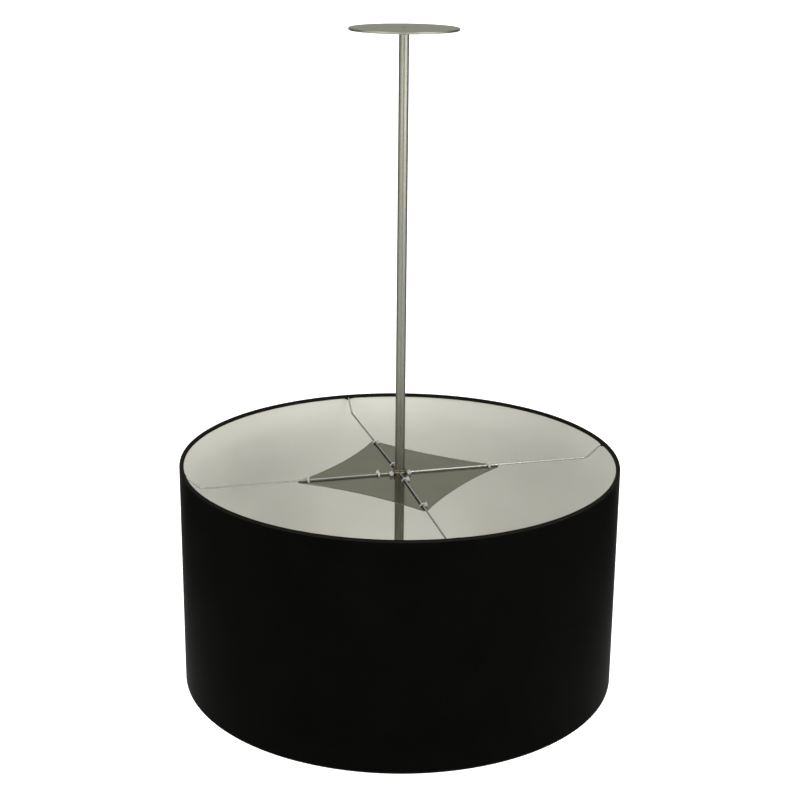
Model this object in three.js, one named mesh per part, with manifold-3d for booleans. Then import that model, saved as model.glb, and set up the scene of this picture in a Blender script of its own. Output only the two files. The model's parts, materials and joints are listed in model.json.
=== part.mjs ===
// Drum chandelier: a flat ceiling disc, a tube stem, a wire spider that carries a drum shade,
// a star-shaped heat plate tied under the spider, and a cluster of lamps inside the shade.
// Millimetres, +Z up. The origin is the centre of the ceiling disc's top face, so everything hangs
// below zero. The four spider arms lie along the X and Y axes.

import * as THREE from 'three';
import { mergeVertices } from 'three/addons/utils/BufferGeometryUtils.js';
import Module from 'manifold-3d';

const wasm = await Module();
wasm.setup();

// Clearance between curved or turned pieces, and how far a cutting solid passes a face
const FIT_GAP = 0.3;
const OVERRUN = 1;

// Ceiling disc
const DISC_RADIUS = 69;
const DISC_THICKNESS = 3.2;
const DISC_EDGE_ROUND = 1.3;

// Threaded tubes that join the parts end to end, and how far they reach into what they join
const NIPPLE_RADIUS = 5;
const NIPPLE_BORE_RADIUS = 3.4;
const NIPPLE_ENGAGEMENT = 18;

// Stem tubes
const STEM_RADIUS = 6.35;
const STEM_WALL = 0.9;

// Shade: its rim hangs this far under the ceiling, and its edges roll over wire rings
const RIM_DROP = 560;
const SHADE_RADIUS = 292;
const SHADE_HEIGHT = 306;
const SKIN_THICKNESS = 0.6;
const LINER_THICKNESS = 0.6;
const RING_WIRE_RADIUS = 1.6;
const RIM_CORNER_ROUND = 1;
const HEM_NOTCH_RISE = 0.9;

// Spider: a turned hub clamped on the stem, and four wires that rise to the shade's ring
const HUB_RADIUS = 8.2;
const HUB_HEIGHT = 7.3;
const HUB_CHAMFER = 0.7;
const ARM_RADIUS = 1.6;
const ARM_SEAT_RADIUS = 6.6;
const ARM_DROP = 21.3;
const ARM_BEND_REACH = 266;
const ARM_BEND_RADIUS = 9;

// Heat plate: a thin sheet with four blunt tips and hollow sides
const PLATE_THICKNESS = 1;
const PLATE_DROP = 23.3;
const PLATE_TIP_REACH = 138.5;
const PLATE_WAIST = 90.6;
const PLATE_TIP_ROUND = 5;

// Cable ties that hold the plate to the arms
const TIE_WIDTH = 2.5;
const TIE_THICKNESS = 1.1;
const TIE_HALF_SPAN = 3.1;
const TIE_HEAD_SPAN = 4.4;
const TIE_HEAD_WIDTH = 4.6;
const TIE_HEAD_HEIGHT = 3.6;
const TIE_TAIL_LENGTH = 2.2;

// How far from the stem each tie sits along its arm. The arms run right, back, left and front.
const TIP_TIE_REACH = 125;
const BACK_TIP_TIE_REACH = 129;
const FRONT_TIP_TIE_REACH = 123;
const RIGHT_ROOT_TIE_REACH = 13;
const LEFT_ROOT_TIE_REACH = 12.5;
const LEFT_MIDDLE_TIE_REACH = 29.3;
const BACK_ROOT_TIE_REACH = 34;
const FRONT_ROOT_TIE_REACH = 28;

// Lamp cluster: a cast cup under the lower stem, with a screwed cover
const LAMP_DROP = 215;
const CLUSTER_RADIUS = 27;
const CLUSTER_HALF_HEIGHT = 16;
const CLUSTER_WALL = 2;
const CLUSTER_CHAMFER = 3;
const COVER_THICKNESS = 2;
const COVER_LIP_HEIGHT = 4;
const COVER_KNOB_RADIUS = 6;
const COVER_KNOB_HEIGHT = 8;
const LOCKNUT_RADIUS = 8;
const LOCKNUT_HEIGHT = 3;
const CLUSTER_NIPPLE_TAIL = 7;

// Lamp holders: a moulded cup, its metal screw shell and its centre contact
const HOLDER_NECK_RADIUS = 9;
const HOLDER_NECK_LENGTH = 7;
const HOLDER_SHOULDER_LENGTH = 5;
const HOLDER_WALL = 3.2;
const HOLDER_FLOOR = 3;
const HOLDER_DEPTH = 34;
const HOLDER_NIPPLE_INSIDE = 5;
const SHELL_THICKNESS = 0.6;
const SHELL_LIP = 2.5;
const CONTACT_RADIUS = 2.6;
const WIRE_HOLE_RADIUS = 5;

// Lamps: a frosted envelope in a screw cap, 3.63 mm to a turn
const CAP_RADIUS = 13.1;
const CAP_THICKNESS = 0.6;
const CAP_END = 26;
const CAP_START = 6.3;
const CAP_LIP_RADIUS = 8;
const TIP_RADIUS = 4.8;
const TIP_HEIGHT = 1.5;
const TIP_CONE_END = 6;
const BULB_LENGTH = 110;
const BULB_RADIUS = 30;
const BULB_WIDEST = 76;
const BULB_WALL = 0.9;
const BULB_NECK_START = 14;
const BULB_NECK_FLARE = 1.2;

// Leads inside the stem and the twist-on connectors at their foot
const LEAD_RADIUS = 1.05;
const LEAD_SPACING = 1.5;
const LEAD_TOP_RECESS = 2;
const LEAD_SPREAD = 6;
const LEAD_SPREAD_HEIGHT = 8;
const CONNECTOR_RADIUS = 4.6;
const CONNECTOR_TIP_RADIUS = 3;
const CONNECTOR_LENGTH = 13;
const CONNECTOR_DEPTH = 9;

// Counts and shares
const RIM_SEGMENTS = 64;
const TURNED_SEGMENTS = 24;
const LAMP_SEGMENTS = 20;
const BULB_SEGMENTS = 16;
const SMALL_SEGMENTS = 16;
const DISC_SEGMENTS = 48;
const WIRE_SIDES = 8;
const RING_SIDES = 6;
const HEM_STEPS = 3;
const BEND_STEPS = 4;
const PLATE_ARC_STEPS = 10;
const TIE_ARC_STEPS = 6;
const ARM_COUNT = 4;
const HEX_SIDES = 6;
const WELD_TOLERANCE = 1e-4;

// Angles
const HALF_TURN = Math.PI;
const FULL_TURN = 2 * Math.PI;
const QUARTER_TURN = HALF_TURN / 2;
const DEGREE = HALF_TURN / 180;
const HEM_WRAP = 160 * DEGREE;
const TIE_ARC_RISE = 25 * DEGREE;

// Worked-out levels and radii
const rimLevel = -RIM_DROP;
const discUnderside = -DISC_THICKNESS;
const armLevel = rimLevel - ARM_DROP;
const plateTop = rimLevel - PLATE_DROP;
const plateUnderside = plateTop - PLATE_THICKNESS;
const hubTop = plateTop + HUB_HEIGHT;
const lampLevel = rimLevel - LAMP_DROP;
const clusterTop = lampLevel + CLUSTER_HALF_HEIGHT;
const clusterFoot = lampLevel - CLUSTER_HALF_HEIGHT;
const stemBore = STEM_RADIUS - STEM_WALL;
const nippleHole = NIPPLE_RADIUS + FIT_GAP;
const skinInner = SHADE_RADIUS - SKIN_THICKNESS;
const linerOuter = skinInner - FIT_GAP;
const linerInner = linerOuter - LINER_THICKNESS;
const ringRadius = linerInner - FIT_GAP - RING_WIRE_RADIUS;
const hemInner = RING_WIRE_RADIUS + FIT_GAP;
const hemOuter = hemInner + SKIN_THICKNESS;
const ringLevel = rimLevel - hemOuter;
const lowerRingLevel = rimLevel - SHADE_HEIGHT + hemOuter;
const holderBack = CLUSTER_RADIUS + FIT_GAP;
const holderFloor = holderBack + HOLDER_NECK_LENGTH + HOLDER_SHOULDER_LENGTH + HOLDER_FLOOR;
const holderMouth = holderFloor + HOLDER_DEPTH;
const shellInner = CAP_RADIUS + FIT_GAP;
const shellRadius = shellInner + SHELL_THICKNESS;
const holderBore = shellRadius + FIT_GAP;
const holderRadius = holderBore + HOLDER_WALL;
const bulbTip = holderMouth - CAP_END;

// Finishes
const finish = (color, metalness, roughness) =>
  new THREE.MeshStandardMaterial({ color, metalness, roughness });
const brushedSteel = finish('#8a8b80', 1, 0.45);
const satinNickel = finish('#a8a99a', 1, 0.35);
const wireNickel = finish('#b9baae', 1, 0.3);
const polishedBrass = finish('#b39a6c', 1, 0.15);
const zincSteel = finish('#9a9a94', 1, 0.4);
const satinBlack = finish('#0d0d0c', 0, 0.6);
const linerWhite = finish('#e4e3d8', 0, 0.8);
const nylonWhite = finish('#e6e6de', 0, 0.5);
const mouldedBlack = finish('#161616', 0, 0.5);
const lampAluminium = finish('#c4c4be', 1, 0.35);
const glassBlack = finish('#101014', 0, 0.2);
const frostedGlass = finish('#f3f1ea', 0, 0.6);
const leadBlack = finish('#1a1a1a', 0, 0.6);
const leadWhite = finish('#dddcd6', 0, 0.6);
const connectorOrange = finish('#c8651e', 0, 0.55);

const object = new THREE.Group();

function place(name, geometry, material, parent = object) {
  const mesh = new THREE.Mesh(geometry, material);
  mesh.name = name;
  parent.add(mesh);
  return mesh;
}

// Turned pieces. A profile is a list of [radius, height] that runs counterclockwise.
function turned(profile, segments) {
  const points = profile.map(([radius, height]) => new THREE.Vector2(radius, height));
  return new THREE.LatheGeometry(points, segments).rotateX(QUARTER_TURN);
}

function turnedRing(profile, segments) {
  return turned([...profile, profile[0]], segments);
}

function tube(outer, inner, low, high, segments) {
  return turnedRing([[outer, low], [outer, high], [inner, high], [inner, low]], segments);
}

// Points of an arc around (centreX, centreY), both ends included
function arcPoints(centreX, centreY, radius, from, to, steps) {
  return Array.from({ length: steps + 1 }, (_, step) => {
    const angle = from + (to - from) * step / steps;
    return [centreX + radius * Math.cos(angle), centreY + radius * Math.sin(angle)];
  });
}

// Cuts and joins
function solidOf(geometry) {
  const bare = geometry.clone();
  bare.deleteAttribute('normal');
  bare.deleteAttribute('uv');
  const welded = mergeVertices(bare, WELD_TOLERANCE);
  const vertProperties = new Float32Array(welded.attributes.position.array);
  const triVerts = new Uint32Array(welded.index.array);
  return new wasm.Manifold(new wasm.Mesh({ numProp: 3, vertProperties, triVerts }));
}

function geometryOf(solid) {
  const { vertProperties, triVerts } = solid.getMesh();
  const geometry = new THREE.BufferGeometry();
  geometry.setAttribute('position', new THREE.BufferAttribute(new Float32Array(vertProperties), 3));
  geometry.setIndex(new THREE.BufferAttribute(new Uint32Array(triVerts), 1));
  geometry.computeVertexNormals();
  return geometry;
}

function cut(geometry, cutters) {
  return geometryOf(cutters.reduce((rest, cutter) => rest.subtract(solidOf(cutter)), solidOf(geometry)));
}

function join(geometries) {
  const [first, ...others] = geometries.map(solidOf);
  return geometryOf(others.reduce((whole, other) => whole.add(other), first));
}

// A box from its lowest to its highest corner
function boxBetween(low, high) {
  const size = high.map((value, axis) => value - low[axis]);
  const middle = high.map((value, axis) => (value + low[axis]) / 2);
  return new THREE.BoxGeometry(...size).translate(...middle);
}

// A wire drawn through stations: each station is one ring of the sweep, square to the bend
class StationPath extends THREE.Curve {
  constructor(stations) {
    super();
    this.stations = stations.map((station) => new THREE.Vector3(...station));
    this.last = stations.length - 1;
  }

  getUtoTmapping(share) {
    return share;
  }

  getPoint(share, target = new THREE.Vector3()) {
    const place = share * this.last;
    const before = Math.min(Math.floor(place), this.last - 1);
    return target.lerpVectors(this.stations[before], this.stations[before + 1], place - before);
  }

  getTangent(share, target = new THREE.Vector3()) {
    const here = Math.round(share * this.last);
    const arriving = this.direction(Math.max(here - 1, 0));
    const leaving = this.direction(Math.min(here, this.last - 1));
    return target.copy(arriving).add(leaving).normalize();
  }

  direction(leg) {
    return this.stations[leg + 1].clone().sub(this.stations[leg]).normalize();
  }
}

function wire(stations, radius, sides) {
  const section = new THREE.Shape();
  section.absarc(0, 0, radius, 0, FULL_TURN);
  const extrudePath = new StationPath(stations);
  return new THREE.ExtrudeGeometry(section, {
    steps: stations.length - 1,
    curveSegments: sides / 2,
    extrudePath,
  });
}

function ringWire(level) {
  return new THREE.TorusGeometry(ringRadius, RING_WIRE_RADIUS, RING_SIDES, RIM_SEGMENTS)
    .translate(0, 0, level);
}

// Ceiling disc, with the bore that its nipple screws into
function discGeometry() {
  const edge = DISC_RADIUS - DISC_EDGE_ROUND;
  const middle = discUnderside / 2;
  return turnedRing([
    [nippleHole, discUnderside],
    [edge, discUnderside],
    [DISC_RADIUS, middle],
    [edge, 0],
    [nippleHole, 0],
  ], DISC_SEGMENTS);
}

function addCeilingDisc() {
  place('ceiling_plate', discGeometry(), brushedSteel);
  const foot = discUnderside - NIPPLE_ENGAGEMENT;
  place('ceiling_nipple', tube(NIPPLE_RADIUS, NIPPLE_BORE_RADIUS, foot, 0, TURNED_SEGMENTS), zincSteel);
}

// Stem tubes above and below the spider's hub, joined by a nipple through hub and plate
function addStem() {
  const upper = tube(STEM_RADIUS, stemBore, hubTop, discUnderside, TURNED_SEGMENTS);
  const lower = tube(STEM_RADIUS, stemBore, clusterTop, plateUnderside, TURNED_SEGMENTS);
  const low = plateUnderside - NIPPLE_ENGAGEMENT;
  const high = hubTop + NIPPLE_ENGAGEMENT;
  place('stem_upper', upper, satinNickel);
  place('stem_lower', lower, satinNickel);
  place('centre_nipple', tube(NIPPLE_RADIUS, NIPPLE_BORE_RADIUS, low, high, TURNED_SEGMENTS), zincSteel);
}

// Spider hub: a turned collar with a notch for the root of each arm
function addHub() {
  const chamferRadius = HUB_RADIUS - HUB_CHAMFER;
  const collar = turnedRing([
    [nippleHole, plateTop],
    [HUB_RADIUS, plateTop],
    [HUB_RADIUS, hubTop - HUB_CHAMFER],
    [chamferRadius, hubTop],
    [nippleHole, hubTop],
  ], TURNED_SEGMENTS);
  const halfNotch = ARM_RADIUS + FIT_GAP;
  const notchTop = armLevel + halfNotch;
  const from = ARM_SEAT_RADIUS - FIT_GAP;
  const to = HUB_RADIUS + OVERRUN;
  const low = plateTop - OVERRUN;
  const notches = Array.from({ length: ARM_COUNT }, (_, arm) =>
    boxBetween([from, -halfNotch, low], [to, halfNotch, notchTop]).rotateZ(arm * QUARTER_TURN));
  place('spider_hub', cut(collar, notches), polishedBrass);
}

// Spider arm along +X: straight out from the hub, one bend, then up to the shade's ring
function armStations() {
  const rise = Math.atan2(ringLevel - armLevel, ringRadius - ARM_BEND_REACH);
  const bendCut = ARM_BEND_RADIUS * Math.tan(rise / 2);
  const bendStart = ARM_BEND_REACH - bendCut;
  const bendCentre = armLevel + ARM_BEND_RADIUS;
  const bendEnd = rise - QUARTER_TURN;
  const bend = arcPoints(bendStart, bendCentre, ARM_BEND_RADIUS, -QUARTER_TURN, bendEnd, BEND_STEPS);
  const seat = RING_WIRE_RADIUS + FIT_GAP;
  const end = [ringRadius - seat * Math.cos(rise), ringLevel - seat * Math.sin(rise)];
  return [[ARM_SEAT_RADIUS, armLevel], ...bend, end].map(([reach, level]) => [reach, 0, level]);
}

function addArms() {
  for (let arm = 0; arm < ARM_COUNT; arm += 1) {
    const mesh = place(`spider_arm_${arm + 1}`, wire(armStations(), ARM_RADIUS, WIRE_SIDES), wireNickel);
    mesh.rotation.z = arm * QUARTER_TURN;
  }
}

// Half of the skin's section, from the middle of the wall over the ring to the hem's end.
// side is 1 at the rim and -1 at the foot; both lists run away from the wall.
function hemSection(ringHeight, side) {
  const turn = (points) => points.map(([radius, height]) => [radius, ringHeight + side * height]);
  const arc = (radius) =>
    arcPoints(ringRadius, 0, radius, QUARTER_TURN, QUARTER_TURN + HEM_WRAP, HEM_STEPS);
  return {
    outer: turn([
      [SHADE_RADIUS, hemOuter - RIM_CORNER_ROUND],
      [SHADE_RADIUS - RIM_CORNER_ROUND, hemOuter],
      ...arc(hemOuter),
    ]),
    inner: turn([[skinInner, hemInner], ...arc(hemInner)]),
  };
}

// Black skin, rolled over both rings, with a notch in the rim's hem for each arm
function skinGeometry() {
  const rim = hemSection(ringLevel, 1);
  const foot = hemSection(lowerRingLevel, -1);
  const profile = [
    ...foot.outer.toReversed(),
    ...rim.outer,
    ...rim.inner.toReversed(),
    ...foot.inner,
  ];
  const halfNotch = ARM_RADIUS + FIT_GAP;
  const from = ringRadius - hemOuter - OVERRUN;
  const low = ringLevel - hemOuter - OVERRUN;
  const high = ringLevel + HEM_NOTCH_RISE;
  const notches = Array.from({ length: ARM_COUNT }, (_, arm) =>
    boxBetween([from, -halfNotch, low], [ringRadius, halfNotch, high]).rotateZ(arm * QUARTER_TURN));
  return cut(turnedRing(profile, RIM_SEGMENTS), notches);
}

function addShade() {
  const linerTop = ringLevel + hemInner - FIT_GAP;
  const linerFoot = lowerRingLevel - hemInner + FIT_GAP;
  place('shade_skin', skinGeometry(), satinBlack);
  place('shade_liner', tube(linerOuter, linerInner, linerFoot, linerTop, RIM_SEGMENTS), linerWhite);
  place('shade_ring_top', ringWire(ringLevel), zincSteel);
  place('shade_ring_bottom', ringWire(lowerRingLevel), zincSteel);
}

// Heat plate outline: blunt tips on the axes, and hollow sides that run into them smoothly
function plateOutline() {
  const tipCentre = PLATE_TIP_REACH - PLATE_TIP_ROUND;
  const waistOnTip = Math.SQRT2 * tipCentre;
  const sideRadius = (PLATE_TIP_ROUND ** 2 - PLATE_WAIST ** 2 - tipCentre ** 2 + waistOnTip * PLATE_WAIST)
    / (2 * PLATE_WAIST - waistOnTip - 2 * PLATE_TIP_ROUND);
  const sideCentre = (PLATE_WAIST + sideRadius) / Math.SQRT2;
  const toSide = Math.atan2(sideCentre, sideCentre - tipCentre);
  const sideFrom = toSide - HALF_TURN;
  const sideTo = -QUARTER_TURN - sideFrom - HALF_TURN;
  const tip = arcPoints(tipCentre, 0, PLATE_TIP_ROUND, -toSide, toSide, BEND_STEPS);
  const side = arcPoints(sideCentre, sideCentre, sideRadius, sideFrom, sideTo, PLATE_ARC_STEPS);
  const quarter = [...tip, ...side.slice(1, -1)];
  const centre = new THREE.Vector2();
  const turnedBy = (angle) => quarter.map(([x, y]) => new THREE.Vector2(x, y).rotateAround(centre, angle));
  return Array.from({ length: ARM_COUNT }, (_, corner) => turnedBy(corner * QUARTER_TURN)).flat();
}

// Every tie: the number of its arm, its reach from the stem, and the side that its head lies on
const ties = [
  { arm: 0, reach: TIP_TIE_REACH, side: 1 },
  { arm: 0, reach: RIGHT_ROOT_TIE_REACH, side: -1 },
  { arm: 1, reach: BACK_TIP_TIE_REACH, side: -1 },
  { arm: 1, reach: BACK_ROOT_TIE_REACH, side: -1 },
  { arm: 2, reach: TIP_TIE_REACH, side: -1 },
  { arm: 2, reach: LEFT_MIDDLE_TIE_REACH, side: -1 },
  { arm: 2, reach: LEFT_ROOT_TIE_REACH, side: 1 },
  { arm: 3, reach: FRONT_TIP_TIE_REACH, side: 1 },
  { arm: 3, reach: FRONT_ROOT_TIE_REACH, side: 1 },
];

// Slots for one tie, one on each side of its arm
function tieSlots({ arm, reach }) {
  const halfLength = TIE_WIDTH / 2 + FIT_GAP;
  const near = TIE_HALF_SPAN - FIT_GAP;
  const far = TIE_HALF_SPAN + TIE_THICKNESS + FIT_GAP;
  return [-1, 1].map((side) => {
    const slot = boxBetween(
      [reach - halfLength, Math.min(side * near, side * far), plateUnderside - OVERRUN],
      [reach + halfLength, Math.max(side * near, side * far), plateTop + OVERRUN],
    );
    return slot.rotateZ(arm * QUARTER_TURN);
  });
}

function addHeatPlate() {
  const shape = new THREE.Shape(plateOutline());
  const sheet = new THREE.ExtrudeGeometry(shape, { depth: PLATE_THICKNESS, bevelEnabled: false })
    .translate(0, 0, plateUnderside);
  const boreDepth = PLATE_THICKNESS + 2 * OVERRUN;
  const bore = new THREE.CylinderGeometry(nippleHole, nippleHole, boreDepth, TURNED_SEGMENTS)
    .rotateX(QUARTER_TURN)
    .translate(0, 0, (plateTop + plateUnderside) / 2);
  place('heat_plate', cut(sheet, [bore, ...ties.flatMap(tieSlots)]), brushedSteel);
}

// One side of a tie's loop, drawn across the arm with the arm's centre at zero
function tieLoop(offset) {
  const foot = plateUnderside - armLevel - FIT_GAP - offset;
  const span = TIE_HALF_SPAN + offset;
  const crown = ARM_RADIUS + FIT_GAP + offset;
  const arc = arcPoints(0, 0, crown, TIE_ARC_RISE, HALF_TURN - TIE_ARC_RISE, TIE_ARC_STEPS);
  const shoulder = plateTop - armLevel + FIT_GAP;
  return [[-span, foot], [span, foot], [span, shoulder], ...arc, [-span, shoulder]]
    .map(([across, up]) => new THREE.Vector2(across, up));
}

// A closed strap round arm and plate, with its head and trimmed tail beside the arm
function tieGeometry(side) {
  const shape = new THREE.Shape(tieLoop(TIE_THICKNESS));
  shape.holes.push(new THREE.Path(tieLoop(0)));
  const strap = new THREE.ExtrudeGeometry(shape, { depth: TIE_WIDTH, bevelEnabled: false })
    .translate(0, 0, -TIE_WIDTH / 2);
  const headFoot = plateTop - armLevel + FIT_GAP;
  const headTop = headFoot + TIE_HEAD_HEIGHT;
  const near = TIE_HALF_SPAN + TIE_THICKNESS / 2;
  const far = near + TIE_HEAD_SPAN;
  const tailNear = near + TIE_HEAD_SPAN / 2;
  const sorted = (a, b) => [Math.min(a, b), Math.max(a, b)];
  const [headLow, headHigh] = sorted(side * near, side * far);
  const [tailLow, tailHigh] = sorted(side * tailNear, side * (tailNear + TIE_THICKNESS));
  const head = boxBetween([headLow, headFoot, -TIE_HEAD_WIDTH / 2], [headHigh, headTop, TIE_HEAD_WIDTH / 2]);
  const tail = boxBetween(
    [tailLow, headTop - TIE_THICKNESS, -TIE_WIDTH / 2],
    [tailHigh, headTop + TIE_TAIL_LENGTH, TIE_WIDTH / 2],
  );
  const toArmFrame = new THREE.Matrix4().makeBasis(
    new THREE.Vector3(0, 1, 0),
    new THREE.Vector3(0, 0, 1),
    new THREE.Vector3(1, 0, 0),
  );
  return join([strap, head, tail]).applyMatrix4(toArmFrame);
}

function addTies() {
  ties.forEach(({ arm, reach, side }, index) => {
    const holder = new THREE.Group();
    holder.rotation.z = arm * QUARTER_TURN;
    object.add(holder);
    const mesh = place(`cable_tie_${index + 1}`, tieGeometry(side), nylonWhite, holder);
    mesh.position.set(reach, 0, armLevel);
  });
}

// Cluster cup: closed at the top around its nipple, open below, one side hole for each holder
function addCluster() {
  const inner = CLUSTER_RADIUS - CLUSTER_WALL;
  const cup = turnedRing([
    [CLUSTER_RADIUS, clusterFoot],
    [CLUSTER_RADIUS, clusterTop - CLUSTER_CHAMFER],
    [CLUSTER_RADIUS - CLUSTER_CHAMFER, clusterTop],
    [nippleHole, clusterTop],
    [nippleHole, clusterTop - CLUSTER_WALL],
    [inner - CLUSTER_CHAMFER, clusterTop - CLUSTER_WALL],
    [inner, clusterTop - CLUSTER_WALL - CLUSTER_CHAMFER],
    [inner, clusterFoot],
  ], TURNED_SEGMENTS);
  const drillLength = CLUSTER_WALL + CLUSTER_RADIUS;
  const drill = new THREE.CylinderGeometry(nippleHole, nippleHole, drillLength, SMALL_SEGMENTS)
    .rotateZ(QUARTER_TURN)
    .translate(CLUSTER_RADIUS, 0, lampLevel);
  const drills = Array.from({ length: ARM_COUNT }, (_, arm) => drill.clone().rotateZ(arm * QUARTER_TURN));
  place('cluster_body', cut(cup, drills), satinNickel);

  const coverFoot = clusterFoot - COVER_THICKNESS;
  const lipOuter = inner - FIT_GAP;
  const lipInner = lipOuter - CLUSTER_WALL;
  const cover = turned([
    [0, coverFoot - COVER_KNOB_HEIGHT],
    [COVER_KNOB_RADIUS / 2, coverFoot - COVER_KNOB_HEIGHT],
    [COVER_KNOB_RADIUS, coverFoot - COVER_KNOB_HEIGHT / 2],
    [COVER_KNOB_RADIUS / 2, coverFoot],
    [CLUSTER_RADIUS - COVER_THICKNESS, coverFoot],
    [CLUSTER_RADIUS, clusterFoot],
    [lipOuter, clusterFoot],
    [lipOuter, clusterFoot + COVER_LIP_HEIGHT],
    [lipInner, clusterFoot + COVER_LIP_HEIGHT],
    [lipInner, clusterFoot],
    [0, clusterFoot],
  ], TURNED_SEGMENTS);
  place('cluster_cover', cover, satinNickel);
}

// The nipple and locknut that hold the cup to the lower stem
function addClusterNipple() {
  const high = clusterTop + NIPPLE_ENGAGEMENT;
  const low = clusterTop - CLUSTER_NIPPLE_TAIL;
  const nutTop = clusterTop - CLUSTER_WALL;
  place('cluster_nipple', tube(NIPPLE_RADIUS, NIPPLE_BORE_RADIUS, low, high, TURNED_SEGMENTS), zincSteel);
  const hexagon = arcPoints(0, 0, LOCKNUT_RADIUS, 0, FULL_TURN, HEX_SIDES).slice(0, -1);
  const shape = new THREE.Shape(hexagon.map(([x, y]) => new THREE.Vector2(x, y)));
  const hole = new THREE.Path();
  hole.absarc(0, 0, nippleHole, 0, FULL_TURN, true);
  shape.holes.push(hole);
  const nut = new THREE.ExtrudeGeometry(shape, {
    depth: LOCKNUT_HEIGHT,
    bevelEnabled: false,
    curveSegments: SMALL_SEGMENTS / 2,
  });
  place('cluster_locknut', nut.translate(0, 0, nutTop - LOCKNUT_HEIGHT), zincSteel);
}

// The pieces of one lamp holder, turned about +Z with the stem's axis at height zero
function addHolder(number, bench) {
  const neckEnd = holderBack + HOLDER_NECK_LENGTH;
  const shoulder = neckEnd + HOLDER_SHOULDER_LENGTH;
  const cup = turnedRing([
    [nippleHole, holderBack],
    [HOLDER_NECK_RADIUS, holderBack],
    [HOLDER_NECK_RADIUS, neckEnd],
    [holderRadius, shoulder],
    [holderRadius, holderMouth],
    [holderBore, holderMouth],
    [holderBore, holderFloor],
    [nippleHole, holderFloor],
  ], LAMP_SEGMENTS);
  const nippleStart = CLUSTER_RADIUS - CLUSTER_WALL - HOLDER_NIPPLE_INSIDE;
  const nipple = tube(NIPPLE_RADIUS, NIPPLE_BORE_RADIUS, nippleStart, neckEnd, SMALL_SEGMENTS);
  const shellBack = holderFloor;
  const shellMouth = holderMouth - SHELL_LIP;
  const shell = turnedRing([
    [WIRE_HOLE_RADIUS, shellBack],
    [shellRadius, shellBack],
    [shellRadius, shellMouth],
    [shellInner, shellMouth],
    [shellInner, shellBack + SHELL_THICKNESS],
    [WIRE_HOLE_RADIUS, shellBack + SHELL_THICKNESS],
  ], LAMP_SEGMENTS);
  const contact = turned([
    [0, neckEnd + FIT_GAP],
    [NIPPLE_RADIUS, neckEnd + FIT_GAP],
    [NIPPLE_RADIUS, holderFloor - FIT_GAP],
    [CONTACT_RADIUS, holderFloor],
    [CONTACT_RADIUS, bulbTip - FIT_GAP],
    [0, bulbTip - FIT_GAP],
  ], SMALL_SEGMENTS);
  place(`holder_cup_${number}`, cup, mouldedBlack, bench);
  place(`holder_nipple_${number}`, nipple, zincSteel, bench);
  place(`holder_shell_${number}`, shell, polishedBrass, bench);
  place(`holder_contact_${number}`, contact, polishedBrass, bench);
}

// Envelope outline as [along, across]: along is a share of the stretch from the cap to the widest
// place, or from there to the crown, and across is a share of the greatest radius
const BULB_BODY_SHARES = [
  [0.24, 0.5],
  [0.54, 0.67],
  [0.86, 0.89],
];
const BULB_CROWN_SHARES = [
  [0.45, 0.93],
  [0.8, 0.64],
  [0.97, 0.26],
];

// Frosted envelope: a thin shell, open at the neck that the cap covers
function bulbGeometry() {
  const neck = CAP_RADIUS - CAP_THICKNESS - FIT_GAP;
  const flareStart = CAP_END + FIT_GAP;
  const body = BULB_WIDEST - flareStart;
  const crown = BULB_LENGTH - BULB_WIDEST;
  const outline = (shares, start, length) =>
    shares.map(([along, across]) => [BULB_RADIUS * across, start + length * along]);
  const skin = [
    [neck, BULB_NECK_START],
    [neck, flareStart],
    [neck + BULB_NECK_FLARE, flareStart + BULB_NECK_FLARE],
    ...outline(BULB_BODY_SHARES, flareStart, body),
    [BULB_RADIUS, BULB_WIDEST],
    ...outline(BULB_CROWN_SHARES, BULB_WIDEST, crown),
    [0, BULB_LENGTH],
  ];
  const hollow = skin.slice(0, -1).map(([radius, height]) => [radius - BULB_WALL, height]).toReversed();
  const profile = [...skin, [0, BULB_LENGTH - BULB_WALL], ...hollow, skin[0]];
  return turned(profile, BULB_SEGMENTS);
}

// One lamp, turned about +Z with its contact tip at height zero
function addBulb(number, bench) {
  const lamp = new THREE.Group();
  lamp.position.z = bulbTip;
  bench.add(lamp);
  const inner = CAP_RADIUS - CAP_THICKNESS;
  const cap = turnedRing([
    [CAP_LIP_RADIUS, CAP_START],
    [CAP_RADIUS, CAP_START + CAP_THICKNESS],
    [CAP_RADIUS, CAP_END],
    [inner, CAP_END],
    [inner, CAP_START + 2 * CAP_THICKNESS],
    [CAP_LIP_RADIUS, CAP_START + CAP_THICKNESS],
  ], LAMP_SEGMENTS);
  const tip = turned([
    [0, 0],
    [TIP_RADIUS, 0],
    [TIP_RADIUS, TIP_HEIGHT],
    [inner, TIP_CONE_END - CAP_THICKNESS],
    [inner, TIP_CONE_END],
    [0, TIP_CONE_END],
  ], SMALL_SEGMENTS);
  place(`bulb_cap_${number}`, cap, lampAluminium, lamp);
  place(`bulb_tip_${number}`, tip, glassBlack, lamp);
  place(`bulb_glass_${number}`, bulbGeometry(), frostedGlass, lamp);
}

// Holders and lamps point out along the arms, below the plate's tips
function addLamps() {
  for (let lamp = 0; lamp < ARM_COUNT; lamp += 1) {
    const quarter = new THREE.Group();
    quarter.position.z = lampLevel;
    quarter.rotation.z = lamp * QUARTER_TURN;
    const bench = new THREE.Group();
    bench.rotation.y = QUARTER_TURN;
    quarter.add(bench);
    object.add(quarter);
    addHolder(lamp + 1, bench);
    addBulb(lamp + 1, bench);
  }
}

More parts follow.
